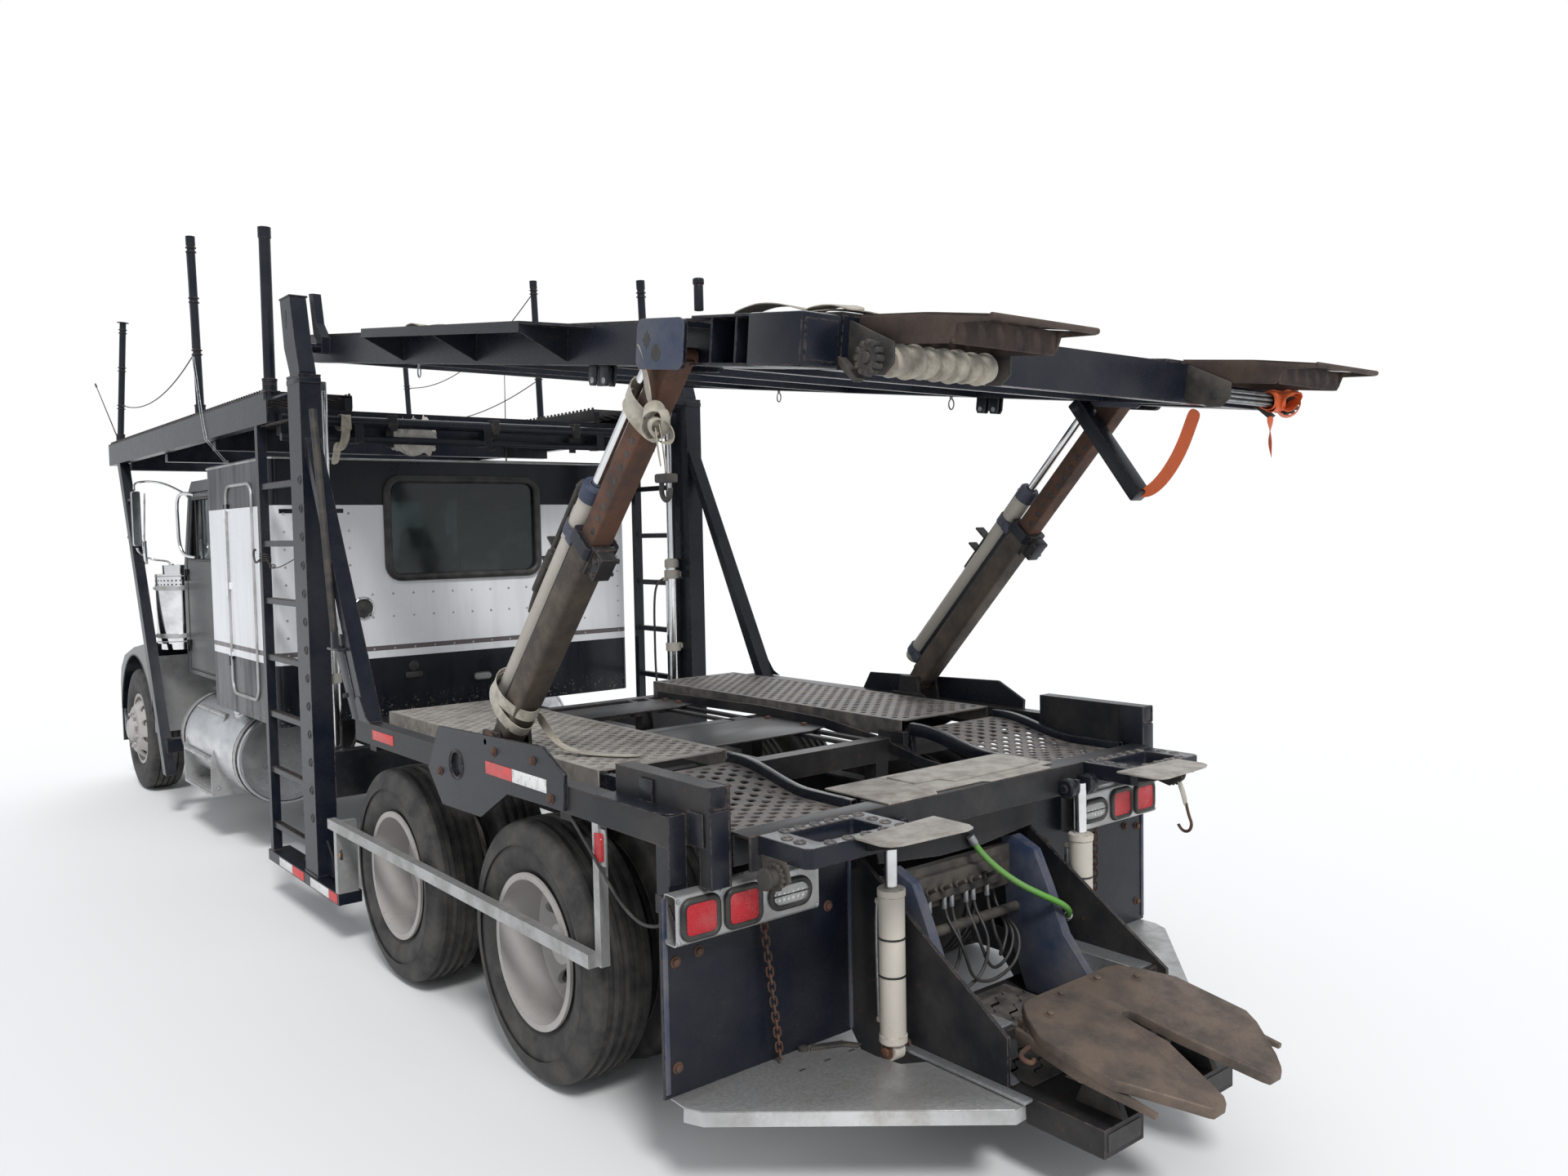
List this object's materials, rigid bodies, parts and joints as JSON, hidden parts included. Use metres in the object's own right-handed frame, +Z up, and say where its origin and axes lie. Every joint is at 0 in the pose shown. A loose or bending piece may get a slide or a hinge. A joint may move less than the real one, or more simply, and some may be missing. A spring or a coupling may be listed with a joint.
{
  "type": "car transporter tractor truck",
  "caption": "Long-nose car transporter tractor with flat-top sleeper, headrack, tilting upper car deck on telescopic legs, perforated lower deck, lifting tail and low fifth wheel.",
  "frame": {"origin": "bottom centre of the bounding box, with the tyres standing on z = 0", "axes": "+Y towards the front bumper, +X to the vehicle's right, +Z up"},
  "size_m": [2.59, 10.2598, 4.11],
  "materials": {
    "dark_paint": "worn satin",
    "cab_black": "gloss",
    "sleeper_silver": "satin",
    "bright_aluminium": "polished",
    "dull_aluminium": "dusty",
    "wheel_silver": "dusty",
    "tyre_black": "dusty",
    "bright_chrome": "polished",
    "clear_glass": "tinted",
    "lamp_red": "lens",
    "lamp_clear": "lens",
    "cast_parts": "oily",
    "worn_steel": "worn and rusty",
    "cream_paint": "dirty",
    "trim_grey": "matte"
  },
  "bodies": {
    "chassis": {"frame_rails": "dark_paint", "frame_brackets": "dark_paint", "lamp_boxes": "dull_aluminium", "front_axle": "cast_parts", "drive_axles": "cast_parts", "engine_and_radiator": "cast_parts", "front_bumper": "bright_chrome", "cab_shell": "cab_black", "fixed_glass": "clear_glass", "cab_interior": "trim_grey", "sleeper_shell": "sleeper_silver", "air_cleaners": "bright_chrome", "fuel_tanks": "bright_aluminium", "steps_and_splash_panels": "dull_aluminium", "headrack_frame": "dark_paint", "headrack_tracks": "dark_paint", "headrack_legs": "dark_paint", "stakes": "dark_paint", "deck_posts": "dark_paint", "post_cylinders": "bright_chrome", "ladders": "dark_paint", "lower_deck_frame": "dark_paint", "lower_tracks": "worn_steel", "bolster_plates": "dark_paint", "side_bars": "dull_aluminium", "rear_lamps": "lamp_red", "flap_plates": "dark_paint", "wing_plates": "dull_aluminium", "stinger_frame": "dark_paint"},
    "steer_knuckle_left": {"steer_knuckle_left": "cast_parts"},
    "steer_wheel_left": {"steer_tyre_left": "tyre_black", "steer_rim_left": "wheel_silver"},
    "steer_knuckle_right": {"steer_knuckle_right": "cast_parts"},
    "steer_wheel_right": {"steer_tyre_right": "tyre_black", "steer_rim_right": "wheel_silver"},
    "front_drive_wheels_left": {"front_drive_tyres_left": "tyre_black", "front_drive_rims_left": "wheel_silver"},
    "front_drive_wheels_right": {"front_drive_tyres_right": "tyre_black", "front_drive_rims_right": "wheel_silver"},
    "rear_drive_wheels_left": {"rear_drive_tyres_left": "tyre_black", "rear_drive_rims_left": "wheel_silver"},
    "rear_drive_wheels_right": {"rear_drive_tyres_right": "tyre_black", "rear_drive_rims_right": "wheel_silver"},
    "cab_door_left": {"cab_door_left": "cab_black", "cab_door_glass_left": "clear_glass"},
    "sleeper_door_left": {"sleeper_door_left": "sleeper_silver"},
    "cab_door_right": {"cab_door_right": "cab_black", "cab_door_glass_right": "clear_glass"},
    "sleeper_door_right": {"sleeper_door_right": "sleeper_silver"},
    "hood": {"hood": "cab_black", "grille": "bright_chrome", "headlamps": "lamp_clear"},
    "upper_deck": {"upper_deck_frame": "dark_paint", "upper_tracks": "worn_steel"},
    "leg_tubes": {"leg_outer": "dark_paint"},
    "leg_rods": {"leg_inner": "worn_steel"},
    "tail_deck": {"tail_deck": "dark_paint"},
    "lift_barrels": {"tail_lift_barrels": "cream_paint"},
    "lift_rods": {"tail_lift_rods": "bright_chrome"},
    "fifth_wheel": {"fifth_wheel_plate": "worn_steel"}
  },
  "joints": [
    {"name": "steer_left", "type": "hinge", "parent": "chassis", "child": "steer_knuckle_left", "pos_m": [-0.88, 4.35, 0.515], "axis": [0, 0, 1], "range_deg": [-35, 35]},
    {"name": "steer_wheel_left_spin", "type": "hinge", "parent": "steer_knuckle_left", "child": "steer_wheel_left", "pos_m": [-1.05, 4.35, 0.515], "axis": [1, 0, 0], "continuous": true},
    {"name": "steer_right", "type": "hinge", "parent": "chassis", "child": "steer_knuckle_right", "pos_m": [0.88, 4.35, 0.515], "axis": [0, 0, 1], "range_deg": [-35, 35]},
    {"name": "steer_wheel_right_spin", "type": "hinge", "parent": "steer_knuckle_right", "child": "steer_wheel_right", "pos_m": [1.05, 4.35, 0.515], "axis": [1, 0, 0], "continuous": true},
    {"name": "front_drive_wheels_left_spin", "type": "hinge", "parent": "chassis", "child": "front_drive_wheels_left", "pos_m": [-0.935, -1.5, 0.515], "axis": [1, 0, 0], "continuous": true},
    {"name": "front_drive_wheels_right_spin", "type": "hinge", "parent": "chassis", "child": "front_drive_wheels_right", "pos_m": [0.935, -1.5, 0.515], "axis": [1, 0, 0], "continuous": true},
    {"name": "rear_drive_wheels_left_spin", "type": "hinge", "parent": "chassis", "child": "rear_drive_wheels_left", "pos_m": [-0.935, -2.87, 0.515], "axis": [1, 0, 0], "continuous": true},
    {"name": "rear_drive_wheels_right_spin", "type": "hinge", "parent": "chassis", "child": "rear_drive_wheels_right", "pos_m": [0.935, -2.87, 0.515], "axis": [1, 0, 0], "continuous": true},
    {"name": "cab_door_left_hinge", "type": "hinge", "parent": "chassis", "child": "cab_door_left", "pos_m": [-1.03, 3.156, 1.8], "axis": [0, 0, -1], "range_deg": [0, 70]},
    {"name": "sleeper_door_left_hinge", "type": "hinge", "parent": "chassis", "child": "sleeper_door_left", "pos_m": [-1.21, 1.236, 1.8], "axis": [0, 0, -1], "range_deg": [0, 90]},
    {"name": "cab_door_right_hinge", "type": "hinge", "parent": "chassis", "child": "cab_door_right", "pos_m": [1.03, 3.156, 1.8], "axis": [0, 0, 1], "range_deg": [0, 70]},
    {"name": "sleeper_door_right_hinge", "type": "hinge", "parent": "chassis", "child": "sleeper_door_right", "pos_m": [1.21, 1.236, 1.8], "axis": [0, 0, 1], "range_deg": [0, 90]},
    {"name": "hood_tilt", "type": "hinge", "parent": "chassis", "child": "hood", "pos_m": [0, 4.96, 0.64], "axis": [-1, 0, 0], "range_deg": [0, 55]},
    {"name": "upper_deck_tilt", "type": "hinge", "parent": "chassis", "child": "upper_deck", "pos_m": [0, -0.41, 3.131], "axis": [1, 0, 0], "range_deg": [-5, 9]},
    {"name": "leg_swing", "type": "hinge", "parent": "chassis", "child": "leg_tubes", "pos_m": [0, -2.62, 1.3], "axis": [1, 0, 0], "range_deg": [-6.1, 10.9]},
    {"name": "leg_slide", "type": "slide", "parent": "leg_tubes", "child": "leg_rods", "axis": [0, -0.6796, 0.7336], "range_m": [-0.46, 0.26]},
    {"name": "tail_deck_lift", "type": "hinge", "parent": "chassis", "child": "tail_deck", "pos_m": [0, -3.2, 1.17], "axis": [-1, 0, 0], "range_deg": [0, 15]},
    {"name": "lift_barrel_swing", "type": "hinge", "parent": "chassis", "child": "lift_barrels", "pos_m": [0, -4.125, 0.345], "axis": [-1, 0, 0], "range_deg": [0, 0.6]},
    {"name": "lift_rod_slide", "type": "slide", "parent": "lift_barrels", "child": "lift_rods", "axis": [0, 0, 1], "range_m": [0, 0.245]},
    {"name": "fifth_wheel_pitch", "type": "hinge", "parent": "chassis", "child": "fifth_wheel", "pos_m": [0, -4.77, 0.4], "axis": [1, 0, 0], "range_deg": [-12, 12]}
  ],
  "couplings": [
    {"joint": "steer_right", "follows": "steer_left", "ratio": 1},
    {"joint": "leg_swing", "follows": "upper_deck_tilt", "ratio": 1.192},
    {"joint": "leg_slide", "follows": "upper_deck_tilt", "m_per_rad": -2.8476},
    {"joint": "lift_barrel_swing", "follows": "tail_deck_lift", "ratio": 0.037},
    {"joint": "lift_rod_slide", "follows": "tail_deck_lift", "m_per_rad": 0.9259}
  ]
}
